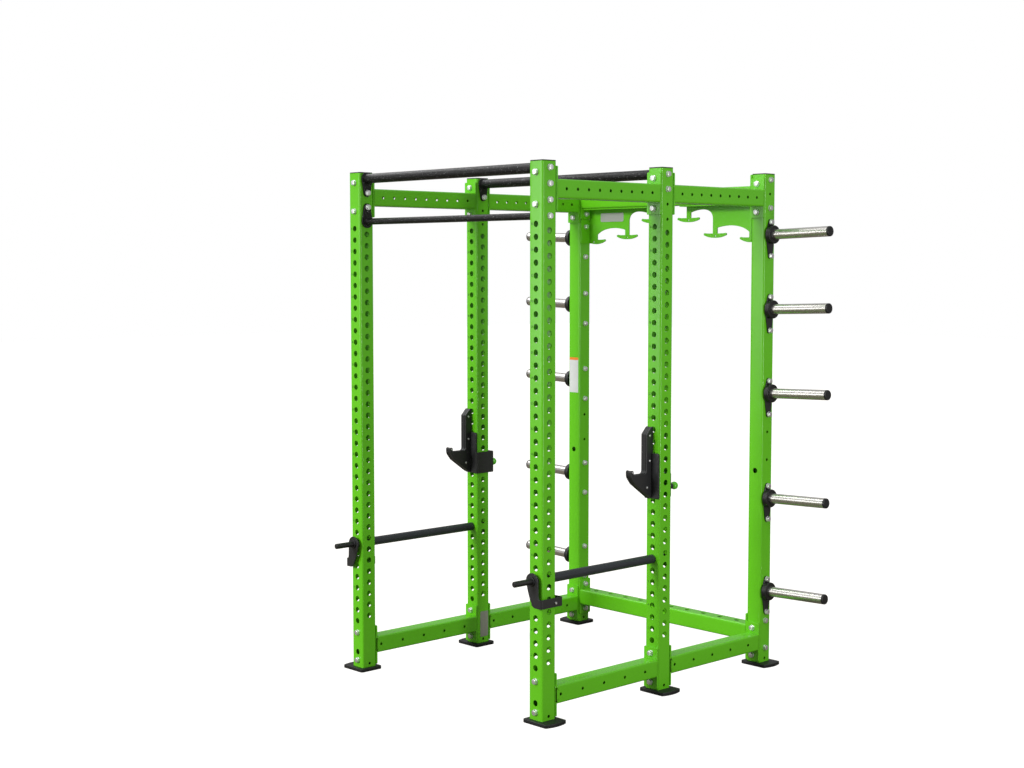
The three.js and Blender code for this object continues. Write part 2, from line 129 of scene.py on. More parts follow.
def square_tube(origin, axes, span, holes):
    """A hollow square tube along axes[2], its four flats joined by round corners.

    A point of flat k is (HALF - depth) along the flat's normal, u across it and s along the tube,
    once at depth 0 and once at depth WALL. holes[k] lists (s, radius, half cell, cell steps): each
    cell is a ring of quads from its rectangle to its circle, u = r cos(a), s = s0 + r sin(a), down
    the hole's wall and back to the rectangle inside.
    """
    flat = HALF - TUBE_CORNER
    rows = [np.linspace(s - h, s + h, m + 1) for face in holes for s, _, h, m in face]
    breaks = np.unique(np.round(np.concatenate([np.array(span)] + rows), 3))
    across = np.linspace(-flat, flat, 7)

    def point(k, u, s, depth):
        normal = (round(cos(k * pi / 2)), round(sin(k * pi / 2)))
        tangent = (-normal[1], normal[0])
        a = normal[0] * (HALF - depth) + tangent[0] * u
        b = normal[1] * (HALF - depth) + tangent[1] * u
        a, b, s = np.broadcast_arrays(a, b, s)
        return origin + a[..., None] * axes[0] + b[..., None] * axes[1] + s[..., None] * axes[2]

    patches = []
    for k in range(4):
        plain = np.ones(len(breaks) - 1, bool)
        for s0, radius, reach, _ in holes[k]:
            inside = (breaks > s0 - reach - 0.01) & (breaks < s0 + reach + 0.01)
            side = breaks[inside]
            plain &= ~(inside[:-1] & inside[1:])
            edge = np.full(len(side) - 1, flat)
            u = np.concatenate([across[:-1], edge, across[:0:-1], -edge])
            low, high = np.full(6, side[0]), np.full(6, side[-1])
            s = np.concatenate([low, side[:-1], high, side[:0:-1]])
            angle = np.arctan2((s - s0) / reach, u / flat)
            circle_u, circle_s = radius * np.cos(angle), s0 + radius * np.sin(angle)
            depth = np.array([0, 0, WALL, WALL])[:, None]
            ring_u, ring_s = np.stack([u, circle_u, circle_u, u]), np.stack([s, circle_s, circle_s, s])
            patches.append(grid(point(k, ring_u, ring_s, depth), loop=True))
        starts = np.flatnonzero(np.diff(np.concatenate([[0], plain, [0]])))
        for first, last in starts.reshape(-1, 2):
            run = breaks[first:last + 1, None]
            patches += [grid(point(k, across[None, :], run, depth)) for depth in (0.0, WALL)]
        turn = np.linspace(0, pi / 2, 5)[None, :]
        for depth in (0.0, WALL):
            r = TUBE_CORNER - depth
            sideways = flat + r * np.sin(turn) + 0 * breaks[:, None]
            inward = TUBE_CORNER - r * np.cos(turn)
            patches.append(grid(point(k, sideways, breaks[:, None], inward)))
    for s in span:
        rim = []
        for depth in (0.0, WALL):
            r = TUBE_CORNER - depth
            turn = np.linspace(0, pi / 2, 5)[1:-1]
            rim.append(np.concatenate([
                np.concatenate([point(k, across, s, depth),
                                point(k, flat + r * np.sin(turn), s, TUBE_CORNER - r * np.cos(turn))])
                for k in range(4)]))
        patches.append(grid(np.stack(rim), loop=True))
    return shell(patches)


def turned(profile, start, way, turns=24, hexed=()):
    """A profile of (distance, radius) pairs turned about the line from start along way.

    Point = start + d way + r (cos(a) side + sin(a) up). A radius of 0 closes an end. Rows named in
    hexed are six-sided: r is divided by cos of the angle to the nearest flat.
    """
    way = np.array(way, float) / np.linalg.norm(way)
    side = np.cross(way, Z if abs(way[2]) < 0.9 else X)
    side /= np.linalg.norm(side)
    up = np.cross(way, side)
    distance, radius = np.array(profile, float).T[:, :, None]
    angle = np.arange(turns)[None, :] * 2 * pi / turns
    radius = radius + 0 * angle
    for row in hexed:
        radius[row] /= np.cos((angle[0] + pi / 6) % (pi / 3) - pi / 6)
    points = (np.array(start) + distance[..., None] * way
              + (radius * np.cos(angle))[..., None] * side + (radius * np.sin(angle))[..., None] * up)
    return shell([grid(points, loop=True)])


def rounded(corners, steps=5):
    """A closed outline from (x, y, radius) corners: each is an arc that touches both of its sides."""
    points = np.array([c[:2] for c in corners], float)
    outline = []
    for i, (x, y, radius) in enumerate(corners):
        here = points[i]
        back, ahead = points[i - 1] - here, points[(i + 1) % len(points)] - here
        back, ahead = back / hypot(*back), ahead / hypot(*ahead)
        half = np.arccos(np.clip(back @ ahead, -1, 1)) / 2
        if radius == 0 or abs(half - pi / 2) < 0.01:
            outline.append(here[None])
            continue
        middle = (back + ahead) / hypot(*(back + ahead))
        centre = here + middle * radius / sin(half)
        swing = np.linspace(-1, 1, steps + 1) * (pi / 2 - half)
        sideways = np.array([-middle[1], middle[0]])
        if sideways @ ahead < 0:
            sideways = -sideways
        arc = centre + radius * (-np.cos(swing)[:, None] * middle + np.sin(swing)[:, None] * sideways)
        outline.append(arc)
    return np.concatenate(outline)


def arc(x, y, radius, start, end, steps=12):
    """Points of a circle's arc between two angles in degrees."""
    angle = np.radians(np.linspace(start, end, steps + 1))
    return np.stack([x + radius * np.cos(angle), y + radius * np.sin(angle)], 1)


def curve(p0, p1, p2, p3, steps=12):
    """A cubic curve from p0 to p3, pulled towards p1 and p2."""
    t = np.linspace(0, 1, steps + 1)[:, None]
    p0, p1, p2, p3 = map(np.array, (p0, p1, p2, p3))
    return (1 - t) ** 3 * p0 + 3 * t * (1 - t) ** 2 * p1 + 3 * t * t * (1 - t) * p2 + t ** 3 * p3


def inset(outline, amount):
    """Each corner of a counterclockwise outline moved inwards by amount, along its mitre."""
    before = outline - np.roll(outline, 1, 0)
    after = np.roll(before, -1, 0)
    inward = [np.stack([-d[:, 1], d[:, 0]], 1) / np.hypot(d[:, 0], d[:, 1])[:, None]
              for d in (before, after)]
    mitre = (inward[0] + inward[1]) / (1 + (inward[0] * inward[1]).sum(1))[:, None]
    return outline + amount * mitre


def plate(outline, place, thick, bevel=1.0, holes=(), steps=2):
    """A flat plate with round edges: rings of the outline, inset by b(1 - sin a) at b(1 - cos a) deep.

    place is (origin, first axis, second axis, depth axis). holes lists (first, second, radius).
    """
    origin, first, second, down = (np.array(v, float) for v in place)
    step = np.roll(outline, -1, 0)
    if (outline[:, 0] * step[:, 1] - step[:, 0] * outline[:, 1]).sum() < 0:
        outline = outline[::-1]
    rims = [outline]
    for x, y, radius in holes:
        rims.append(arc(x, y, radius, 360, 0, 20)[:-1])
    turn = np.linspace(0, pi / 2, steps + 1)
    amounts = bevel * (1 - np.sin(turn))
    depths = bevel * (1 - np.cos(turn))
    amounts = np.concatenate([amounts, amounts[::-1]])
    depths = np.concatenate([depths, thick - depths[::-1]])

    def space(flat, depth):
        return origin + flat[..., :1] * first + flat[..., 1:] * second + depth * down

    patches = []
    for i, rim in enumerate(rims):
        scale = 1.0 if i == 0 else 0.4
        rings = np.stack([space(inset(rim, a * scale), d) for a, d in zip(amounts, depths)])
        patches.append(grid(rings, loop=True))
    flat = np.concatenate([inset(rim, bevel * (1.0 if i == 0 else 0.4)) for i, rim in enumerate(rims)])
    edges = []
    count = 0
    for rim in rims:
        edges += [(count + j, count + (j + 1) % len(rim)) for j in range(len(rim))]
        count += len(rim)
    found = delaunay_2d_cdt([tuple(p) for p in flat], edges, [], 1, 1e-6)
    source = np.array([ids[0] if ids else 0 for ids in found[3]])
    triangles = source[np.array(found[2])]
    middle = flat[triangles].mean(1)
    for x, y, radius in holes:
        triangles = triangles[np.hypot(middle[:, 0] - x, middle[:, 1] - y) > radius]
        middle = flat[triangles].mean(1)
    cap = np.concatenate([triangles, triangles[:, 2:]], 1)
    patches += [(space(flat, 0.0), cap), (space(flat, thick), cap)]
    return shell(patches)


def band(path, thick):
    """Outline of a strip that follows a path in the plane, half its thickness to each side."""
    step = np.gradient(path, axis=0)
    normal = np.stack([-step[:, 1], step[:, 0]], 1) / np.hypot(step[:, 0], step[:, 1])[:, None]
    return np.concatenate([path + normal * thick / 2, (path - normal * thick / 2)[::-1]])


def piece(name, shells, material, body="root", stands_for=(), slot=None, sharp=32):
    """One object in metres from shells in millimetres, its faces turned outwards, riding its body."""
    faces, corners, count = [], [], 0
    for points, quads in shells:
        same = quads == np.roll(quads, -1, axis=1)
        faces += (quads[same.sum(1) == 0] + count).tolist()
        for k in range(4):
            three = quads[(same.sum(1) == 1) & same[:, k]]
            faces += (np.delete(three, k, axis=1) + count).tolist()
        corners.append(points)
        count += len(points)
    mesh = bpy.data.meshes.new(name)
    mesh.from_pydata((np.concatenate(corners) / 1000).tolist(), [], faces)
    work = bmesh.new()
    work.from_mesh(mesh)
    bmesh.ops.recalc_face_normals(work, faces=work.faces)
    work.to_mesh(mesh)
    work.free()
    mesh.polygons.foreach_set("use_smooth", np.ones(len(mesh.polygons), bool))
    mesh.set_sharp_from_angle(angle=radians(sharp))
    thing = bpy.data.objects.new(name, mesh)
    bpy.context.collection.objects.link(thing)
    thing.modifiers.new("flat faces stay flat", "WEIGHTED_NORMAL").keep_sharp = True
    mesh.materials.append(material)
    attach(thing, body)
    if stands_for:
        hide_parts(*stands_for)
    slot or material["slot"]
    return thing


# ---------------------------------------------------------------- finishes

# Sizes of patterns, in millimetres.
COAT_CLOUD_MM = 250.0           # slow drift of a powder coat's colour
PLASTIC_CLOUD_MM = 55.56        # and of a moulding's
GRIT_MM, WRINKLE_MM = 2.381, 3.846  # coarser than the real grit, so that it shows


def colour(code, alpha=1.0):
    """Linear colour from an sRGB hex code."""
    channels = [int(code[i:i + 2], 16) / 255 for i in (1, 3, 5)]
    return [c / 12.92 if c <= 0.04045 else ((c + 0.055) / 1.055) ** 2.4 for c in channels] + [alpha]


def node(tree, kind, inputs=(), **settings):
    """Adds a shader node: settings are its own properties, inputs its socket values or links."""
    made = tree.nodes.new(kind)
    for key, value in settings.items():
        setattr(made, key, value)
    for key, value in dict(inputs).items():
        if isinstance(value, bpy.types.NodeSocket):
            tree.links.new(value, made.inputs[key])
        else:
            made.inputs[key].default_value = value
    return made


def finish(name, slot, shader):
    """A new material with its Principled shader: returns material, tree, shader and Object coordinates."""
    material = bpy.data.materials.new(name)
    material.use_nodes = True
    material["slot"] = slot
    tree = material.node_tree
    surface = tree.nodes["Principled BSDF"]
    for key, value in shader.items():
        surface.inputs[key].default_value = value
    place = node(tree, "ShaderNodeTexCoord").outputs["Object"]
    return material, tree, surface, place


def skinned(tree, surface, height, smooth, rough, strength, depth):
    """One height pattern drives a finish: roughness from smooth to rough, and a bump of depth metres."""
    spread = node(tree, "ShaderNodeMapRange", {"Value": height, "To Min": smooth, "To Max": rough})
    tree.links.new(spread.outputs["Result"], surface.inputs["Roughness"])
    bump = node(tree, "ShaderNodeBump", {"Height": height, "Strength": strength, "Distance": depth})
    tree.links.new(bump.outputs["Normal"], surface.inputs["Normal"])


def powder_coat(name, slot, low, high, rough, peel_mm, peel):
    """Baked polyester powder on steel: even colour, with orange peel a few millimetres across."""
    material, tree, surface, place = finish(name, slot, {"Roughness": rough, "IOR": 1.5})
    cloud = node(tree, "ShaderNodeTexNoise", {"Vector": place, "Scale": 1000 / COAT_CLOUD_MM, "Detail": 3.0})
    tone = node(tree, "ShaderNodeMix", {"Factor": cloud.outputs["Fac"], "A": colour(low), "B": colour(high)},
                data_type="RGBA")
    tree.links.new(tone.outputs["Result"], surface.inputs["Base Color"])
    skin = node(tree, "ShaderNodeTexNoise", {"Vector": place, "Scale": 1000 / peel_mm, "Detail": 2.0})
    skinned(tree, surface, skin.outputs["Fac"], rough - 0.05, rough + 0.07, peel, 0.0002)
    return material


def textured_coat():
    """Wrinkle-textured black powder for grip: grains of about 2 mm stand up; rare smooth ones glint, and are
    painted pale grey as painted glints.

    The real grains are finer, and are drawn this coarse so that they show.
    """
    material, tree, surface, place = finish("wrinkle_black_powder_coat", "black_powder_coat",
                                            {"IOR": 1.5, "Roughness": 0.4, "Specular IOR Level": 0.25})
    grain = node(tree, "ShaderNodeTexVoronoi", {"Vector": place, "Scale": 1000 / GRIT_MM})
    fine = node(tree, "ShaderNodeTexNoise", {"Vector": place, "Scale": 1000 / WRINKLE_MM, "Detail": 4.0})
    # Painted glints: rare specks of the fine grain get a pale grey base colour that stands for glints of
    # light.
    painted_glint_mask = node(tree, "ShaderNodeMapRange", {"Value": fine.outputs["Fac"], "From Min": 0.67,
                                                "From Max": 0.71})
    painted_glints = node(tree, "ShaderNodeMix", {"Factor": painted_glint_mask.outputs["Result"], "A": colour("#0C0C0D"),
                                            "B": colour("#C4C6C8")}, data_type="RGBA")
    tree.links.new(painted_glints.outputs["Result"], surface.inputs["Base Color"])
    rough = node(tree, "ShaderNodeMapRange", {"Value": fine.outputs["Fac"], "From Min": 0.35,
                                              "From Max": 0.65, "To Min": 0.5, "To Max": 0.24})
    tree.links.new(rough.outputs["Result"], surface.inputs["Roughness"])
    height = node(tree, "ShaderNodeMath", {0: grain.outputs["Distance"], 1: fine.outputs["Fac"]},
                  operation="ADD")
    bump = node(tree, "ShaderNodeBump", {"Height": height.outputs[0], "Strength": 0.9, "Distance": 0.0006})
    tree.links.new(bump.outputs["Normal"], surface.inputs["Normal"])
    return material


def plated(name, slot, tint, rough, streak_mm, streak):
    """Plated steel: a polished metal with faint polishing streaks that blur its reflections."""
    material, tree, surface, place = finish(name, slot, {"Metallic": 1.0, "Base Color": colour(tint),
                                                         "Roughness": rough})
    stretch = node(tree, "ShaderNodeMapping", {"Vector": place, "Scale": (0.1, 1.0, 1.0)})
    lines = node(tree, "ShaderNodeTexNoise", {"Vector": stretch.outputs["Vector"],
                                              "Scale": 1000 / streak_mm, "Detail": 3.0})
    skinned(tree, surface, lines.outputs["Fac"], rough * 0.7, rough * 1.5, streak, 0.0001)
    return material


def moulded(name, slot, low, high, rough, grain_mm, depth):
    """Injection-moulded plastic: a fine spark-eroded grain and a slightly uneven colour."""
    material, tree, surface, place = finish(name, slot, {"IOR": 1.46, "Roughness": rough})
    cloud = node(tree, "ShaderNodeTexNoise", {"Vector": place, "Scale": 1000 / PLASTIC_CLOUD_MM,
                                              "Detail": 4.0})
    tone = node(tree, "ShaderNodeMix", {"Factor": cloud.outputs["Fac"], "A": colour(low), "B": colour(high)},
                data_type="RGBA")
    tree.links.new(tone.outputs["Result"], surface.inputs["Base Color"])
    grain = node(tree, "ShaderNodeTexNoise", {"Vector": place, "Scale": 1000 / grain_mm, "Detail": 3.0})
    skinned(tree, surface, grain.outputs["Fac"], rough - 0.06, rough + 0.06, depth, 0.0002)
    return material


# Gloss polyester powder: a saturated lime with a clear but softened highlight.
LIME = powder_coat("lime_gloss_powder_coat", "green_powder_coat", "#5DBA14", "#65C31C", 0.24, 4.0, 0.15)
# Satin powder on brackets, J-cups and locks: a dark grey sheen on the faces that meet the light.
BLACK = powder_coat("satin_black_powder_coat", "black_powder_coat", "#1B1C1D", "#222325", 0.42, 2.5, 0.4)
# A darker powder on the horns' stops and the safety rods, which read as the deepest black.
MATT_COAT = powder_coat("deep_black_powder_coat", "black_powder_coat", "#08090A", "#0E0F10", 0.45, 2.5, 0.3)
GRIP = textured_coat()
# Chrome plate dulled by plates sliding on it: bright bands with soft edges.
CHROME = plated("bright_chrome_plate", "chrome_plate", "#D3D0CC", 0.26, 2.0, 0.02)
# Zinc plate on bolts, pins and springs: a pale silver that scatters most of its reflections.
ZINC = plated("bright_zinc_plate", "zinc_steel", "#E4E5E6", 0.38, 1.5, 0.1)
# Moulded nylon of caps, feet and liners, also used for the figures: flat black with a fine grain.
MATT = moulded("matt_black_nylon", "black_plastic", "#0F1011", "#17181A", 0.5, 1.2, 0.4)
# Extruded polyethylene pipe over the safety rods: slate black with a long soft highlight.
PIPE = moulded("slate_black_polyethylene", "black_plastic", "#20242A", "#292D34", 0.42, 1.5, 0.35)
# Moulded phenolic ball with a gloss skin: a bright green with a small highlight.
KNOB = moulded("gloss_green_phenolic", "green_plastic", "#55BE1E", "#61C928", 0.22, 3.0, 0.1)
# Satin aluminium sheet: an even silver grey.
BLANK = plated("satin_aluminium_plate", "blank_plate", "#B9BAB8", 0.4, 0.8, 0.2)
# Vinyl film: an even pale grey, and an even orange for its band.
LABEL = moulded("pale_vinyl_label", "blank_plate", "#C9CCCB", "#D3D6D4", 0.4, 0.8, 0.1)
LABEL_BAND = moulded("orange_vinyl_label", "blank_plate", "#E07A1E", "#E58427", 0.4, 0.8, 0.1)

# ---------------------------------------------------------------- fasteners


# A washer's rim, from the face it lies on.
WASHER = [(0, 0), (0, 12.6), (0.4, 13), (1.6, 13), (2, 12.6)]


def hex_bolt(place, way):
    """A hex head on a washer: the washer's rim, six flats, and a chamfer to a round end face."""
    profile = WASHER + [(2.1, 10.5), (10.7, 10.5), (11.6, 9.6), (11.6, 0)]
    return turned(profile, place, way, 24, hexed=(5, 6))


def hex_nut(place, way):
    """A hex nut on a washer, with the bolt's round end standing out of it."""
    profile = WASHER + [(2.1, 10.5), (11.5, 10.5), (12.3, 9.6), (12.3, 6), (16.5, 6), (17.3, 5.2), (17.3, 0)]
    return turned(profile, place, way, 24, hexed=(5, 6))


def dome_bolt(place, way):
    """A button head: a quarter-round dome on a low rim, with a hex socket in its end."""
    dome = [(0.5 + 3 * sin(a), 5.3 * cos(a)) for a in np.radians(np.linspace(0, 70, 5))]
    profile = [(0, 0), (0, 5.3)] + dome + [(3.35, 2.1), (1.6, 2.1), (1.6, 0)]
    return turned(profile, place, way, 24, hexed=(len(profile) - 2, len(profile) - 3))


# ---------------------------------------------------------------- uprights, caps and feet


def ladder(lowest, highest):
    """Cells for the big holes, from one height to another."""
    return [(z, PIN_HOLE / 2, LADDER_PITCH / 2, 6) for z in np.arange(lowest, highest + 1, LADDER_PITCH)]


LADDER_FRONT = ladder(225.0, 1975.0)
LADDER_SIDE = ladder(250.0, 1950.0)


def small_holes(heights, reach=12.5):
    """Cells for small accessory holes."""
    return [(z, SMALL_HOLE / 2, reach, 4) for z in heights]


def upright(row, side):
    """Front and middle uprights have the hole ladder on four faces, the rear ones a few holes."""
    centre = UPRIGHTS[row, side]
    origin = np.array([centre[0], centre[1], 0.0])
    if row == "rear":
        face = ladder(LONE_HOLE, LONE_HOLE)
        flank = small_holes([31.0, 940.0, 1065.5, 2131.0])
    else:
        face = ladder(83.5, 83.5) + LADDER_FRONT
        flank = small_holes([31.0]) + LADDER_SIDE
        if row == "middle":
            flank = flank + small_holes([2006.0, 2068.5])
    tube = square_tube(origin, (X, Y, Z), (TUBE_LOW, TUBE_HIGH), [flank, face, flank, face])
    piece(f"tube_{row}_{side}", [tube], LIME, stands_for=[f"upright_{row}_{side}"])


def square(side, corner, steps=4):
    """A square outline with round corners about the origin."""
    h = side / 2
    return rounded([(-h, -h, corner), (h, -h, corner), (h, h, corner), (-h, h, corner)], steps)


def cap(row, side):
    """A thin moulded flange on the tube's end, with a plug below it."""
    low, high = box_mm(f"cap_{row}_{side}")
    centre = (low + high) / 2
    top = (centre[0], centre[1], high[2])
    flange = plate(square(TUBE, TUBE_CORNER), (top, X, Y, -Z), 4.0, 1.6, steps=3)
    plug = plate(square(68.4, 5), ((centre[0], centre[1], high[2] - 3.5), X, Y, -Z), 18.0, 1.0)
    piece(f"end_cap_{row}_{side}", [flange, plug], MATT, stands_for=[f"cap_{row}_{side}"])


def foot(row, side):
    """A thick plate: square with round corners towards the inside, a shallow arc on the outside."""
    low, high = box_mm(f"foot_{row}_{side}")
    depth = (high[1] - low[1]) / 2
    out = SIDES[side] * X
    inner, bulge = sorted((low[0] * out[0] - SIDE_X, high[0] * out[0] - SIDE_X))
    rise = bulge - FOOT_FLAT
    radius = (depth ** 2 + rise ** 2) / (2 * rise)
    swing = np.degrees(asin(depth / radius))
    outer = [(x, y, 0) for x, y in arc(bulge - radius, 0, radius, -swing, swing, 10)]
    outer[0] = outer[0][:2] + (8,)
    outer[-1] = outer[-1][:2] + (8,)
    outline = rounded(outer + [(inner, depth, 12), (inner, -depth, 12)], 6)
    place = ((out[0] * SIDE_X, ROW_Y[row], high[2]), out, Y, -Z)
    slab = plate(outline, place, high[2] - low[2], 2.2, steps=3)
    piece(f"foot_plate_{row}_{side}", [slab], MATT, stands_for=[f"foot_{row}_{side}"])


for row in ROWS:
    for side in SIDES:
        upright(row, side)
        cap(row, side)
        foot(row, side)

# ---------------------------------------------------------------- beams


def end_plate(place):
    """A bolting plate as wide as the tube, with eased corners."""
    h = END_PLATE_TALL / 2
    outline = rounded([(-HALF, -h, 4), (HALF, -h, 4), (HALF, h, 4), (-HALF, h, 4)], 3)
    return plate(outline, place, END_PLATE, 0.8)


frame_bolts = []
for name, level in BEAM_LEVELS.items():
    for bay in ("front", "rear"):
        for side, sign in SIDES.items():
            low, high = box_mm(f"{name}_beam_{bay}_{side}")
            x = (low[0] + high[0]) / 2
            start, end = low[1], high[1]
            middle = (start + end) / 2
            if name == "top":
                along = [middle + i * SMALL_PITCH for i in range(-4, 5)]
            else:
                along = [middle - 26.25 + i * 2 * SMALL_PITCH for i in range(-2, 3)]
            cells = small_holes(along, SMALL_PITCH / 2)
            origin = np.array([x, 0.0, level])
            tube = square_tube(origin, (X, Z, Y), (start + 6, end - 6), [cells, [], cells, []])
            plates = [end_plate(((x, start, level), X, Z, Y)), end_plate(((x, end, level), X, Z, -Y))]
            piece(f"{name}_rail_{bay}_{side}", [tube] + plates, LIME,
                  stands_for=[f"{name}_beam_{bay}_{side}"])
            for z in (level - BEAM_BOLT, level + BEAM_BOLT):
                if bay == "front":
                    frame_bolts.append(hex_bolt((x, start - GAP - TUBE, z), -Y))
                    frame_bolts.append(hex_nut((x, start + END_PLATE, z), Y))
                frame_bolts.append(hex_bolt((x, end - END_PLATE, z), -Y))
                if bay == "rear":
                    frame_bolts.append(hex_nut((x, end + GAP + TUBE, z), Y))
                    frame_bolts.append(hex_nut((x, start + END_PLATE, z), Y))

for name in ("top", "base"):
    low, high = box_mm(f"cross_beam_{name}")
    level = (low[2] + high[2]) / 2
    y = (low[1] + high[1]) / 2
    cells = [(50.0 + i * 100, PIN_HOLE / 2, SMALL_PITCH / 2, 6) for i in range(-5, 5)]
    faces = [[], cells, [], []] if name == "base" else [[], [], [], cells]
    tube = square_tube(np.array([0.0, y, level]), (Y, Z, X), (low[0] + 6, high[0] - 6), faces)
    plates = [end_plate(((low[0], y, level), Y, Z, X)), end_plate(((high[0], y, level), Y, Z, -X))]
    piece(f"cross_rail_{name}", [tube] + plates, LIME, stands_for=[f"cross_beam_{name}"])
    for sign in SIDES.values():
        for z in (level - BEAM_BOLT, level + BEAM_BOLT):
            frame_bolts.append(hex_bolt((sign * OUTER_X, y, z), sign * X))
            frame_bolts.append(hex_nut((sign * (high[0] - END_PLATE), y, z), -sign * X))

# ---------------------------------------------------------------- pull-up bars


def teardrop(large, small, offset, steps=16):
    """Outline of two circles and their outer tangents; the small one is offset along the second axis."""
    lean = np.degrees(asin((large - small) / abs(offset)))
    big = arc(0, 0, large, 180 - lean, 360 + lean, 2 * steps)
    little = arc(0, abs(offset), small, lean, 180 - lean, steps)
    outline = np.concatenate([big, little])
    return outline if offset > 0 else outline * [1, -1]


TEAR_LARGE, TEAR_SMALL = 28.0, 17.0  # radii of a teardrop plate, at the bar and at its bolt
# Each bar: its upright row, its radius, and on which side of it the bolt is.
BARS = {
    "front_upper": ("front", 21.0, -1),
    "front_lower": ("front", 14.0, 1),
    "middle_upper": ("middle", 21.0, -1),
}

bar_bolts = []
for name, (row, radius, bolt) in BARS.items():
    low, high = box_mm(f"bar_{name}")
    y = ROW_Y[row]
    z = high[2] - TEAR_LARGE if bolt < 0 else low[2] + TEAR_LARGE
    outline = teardrop(TEAR_LARGE, TEAR_SMALL, bolt * BEAM_BOLT)
    reach = high[0] - low[0] - 4
    shells = [turned([(0, 0), (0, radius), (reach, radius), (reach, 0)], (low[0] + 2, y, z), X, 40)]
    bead = [(0, radius - 1), (0, radius + 4.5), (1.8, radius + 3.2), (4.5, radius + 0.2), (4.5, radius - 1),
            (0, radius - 1)]
    for x, way in ((low[0], X), (high[0], -X)):
        inner, outer = x + way[0] * END_PLATE, -way[0] * OUTER_X
        shells.append(plate(outline, ((x, y, z), Y, Z, way), END_PLATE, 0.9))
        shells.append(turned(bead, (inner, y, z), way, 40))
        bar_bolts.append(hex_bolt((inner, y, z + bolt * BEAM_BOLT), way))
        bar_bolts.append(hex_bolt((outer, y, z + bolt * BEAM_BOLT), -way))
        bar_bolts.append(hex_bolt((outer, y, z), -way))
    piece(f"pull_up_{name}", shells, GRIP, stands_for=[f"bar_{name}"])

# ---------------------------------------------------------------- weight horns

horn_bolts = []
LEAN = radians(1.85)
BRACKET = 7.0                   # thickness of a horn's bracket
DISC = 23.0                     # thickness of its stop disc
BOLT_EYE, AXIS_EYE = 13.0, 29.0  # radii of the bracket's outline at its bolts and at the horn
AXIS_DROP, LOW_BOLT = 55.0, 150.0  # the horn's axis and the second bolt below the top bolt
SLEEVE = 22.5                   # radius of the sleeve
END_CAP = 9.5                   # length of the moulded cap on its end


def horn_bracket():
    """Outline of three circles in a column and their outer tangents, widest at the horn's axis."""
    taper = AXIS_EYE - BOLT_EYE
    above = np.degrees(asin(taper / AXIS_DROP))
    below = np.degrees(asin(taper / (LOW_BOLT - AXIS_DROP)))
    return np.concatenate([
        arc(0, 0, BOLT_EYE, above, 180 - above, 14),
        arc(0, -AXIS_DROP, AXIS_EYE, 180 - above, 180 + below, 6),
        arc(0, -LOW_BOLT, BOLT_EYE, 180 + below, 360 - below, 14),
        arc(0, -AXIS_DROP, AXIS_EYE, -below, above, 6)])


for side, sign in SIDES.items():
    for i in range(1, 6):
        low, high = box_mm(f"horn_{side}_{i}")
        y = ROW_Y["rear"]
        face = sign * (OUTER_X + GAP)
        top = high[2] - BOLT_EYE
        axis = top - AXIS_DROP
        out = sign * X
        way = np.array([sign * cos(LEAN), 0, sin(LEAN)])
        root = face + sign * BRACKET
        tip = high[0] if sign > 0 else -low[0]
        length = (tip - abs(root) - SLEEVE * sin(LEAN)) / cos(LEAN)
        strap = plate(horn_bracket(), ((face, y, top), Y, Z, out), BRACKET, 1.0)
        turn = np.radians(np.linspace(0, 90, 6))
        edge = [(3 - 3 * cos(a), 38 + 3 * sin(a)) for a in turn]
        edge += [(DISC - 4 + 4 * sin(a), 37 + 4 * cos(a)) for a in turn]
        bead = [(DISC, 26.5), (DISC + 1.2, 25.6), (DISC + 3, 22.6), (DISC + 3, 0)]
        disc = turned([(-2, 0), (-2, 30), (0, 30)] + edge + bead, (root, y, axis), out, 56)
        piece(f"horn_bracket_{side}_{i}", [strap], BLACK, stands_for=[f"horn_{side}_{i}"])
        piece(f"horn_stop_{side}_{i}", [disc], MATT_COAT, stands_for=[f"horn_{side}_{i}"])
        sleeve = [(10, 0), (10, SLEEVE), (length - END_CAP, SLEEVE), (length - END_CAP, 0)]
        sleeve = turned(sleeve, (root, y, axis), way, 56)
        piece(f"horn_sleeve_{side}_{i}", [sleeve], CHROME, stands_for=[f"horn_{side}_{i}"])
        rim = [(length - 4 + 4 * sin(a), SLEEVE - 4 + 4 * cos(a)) for a in turn]
        plug = [(length - 9.4, 0), (length - 9.4, 22.2), (length - 9, SLEEVE)] + rim + [(length, 0)]
        plug = turned(plug, (root, y, axis), way, 48)
        piece(f"horn_plug_{side}_{i}", [plug], MATT)
        for z in (top, top - LOW_BOLT):
            horn_bolts.append(hex_bolt((root, y, z), out))
            if i > 1 or z < top:
                horn_bolts.append(hex_nut((sign * INNER_X, y, z), -out))

# ---------------------------------------------------------------- hook plates

HOOK_TOP = box_mm("hook_plate_right")[1][2]
HOOK_SHEET = 6.0                # thickness of the folded plate
hook_front = ROW_Y["rear"] + 25.0
hook_end = box_mm("cross_beam_top")[1][0] - END_PLATE - GAP
hook_outer = INNER_X - GAP


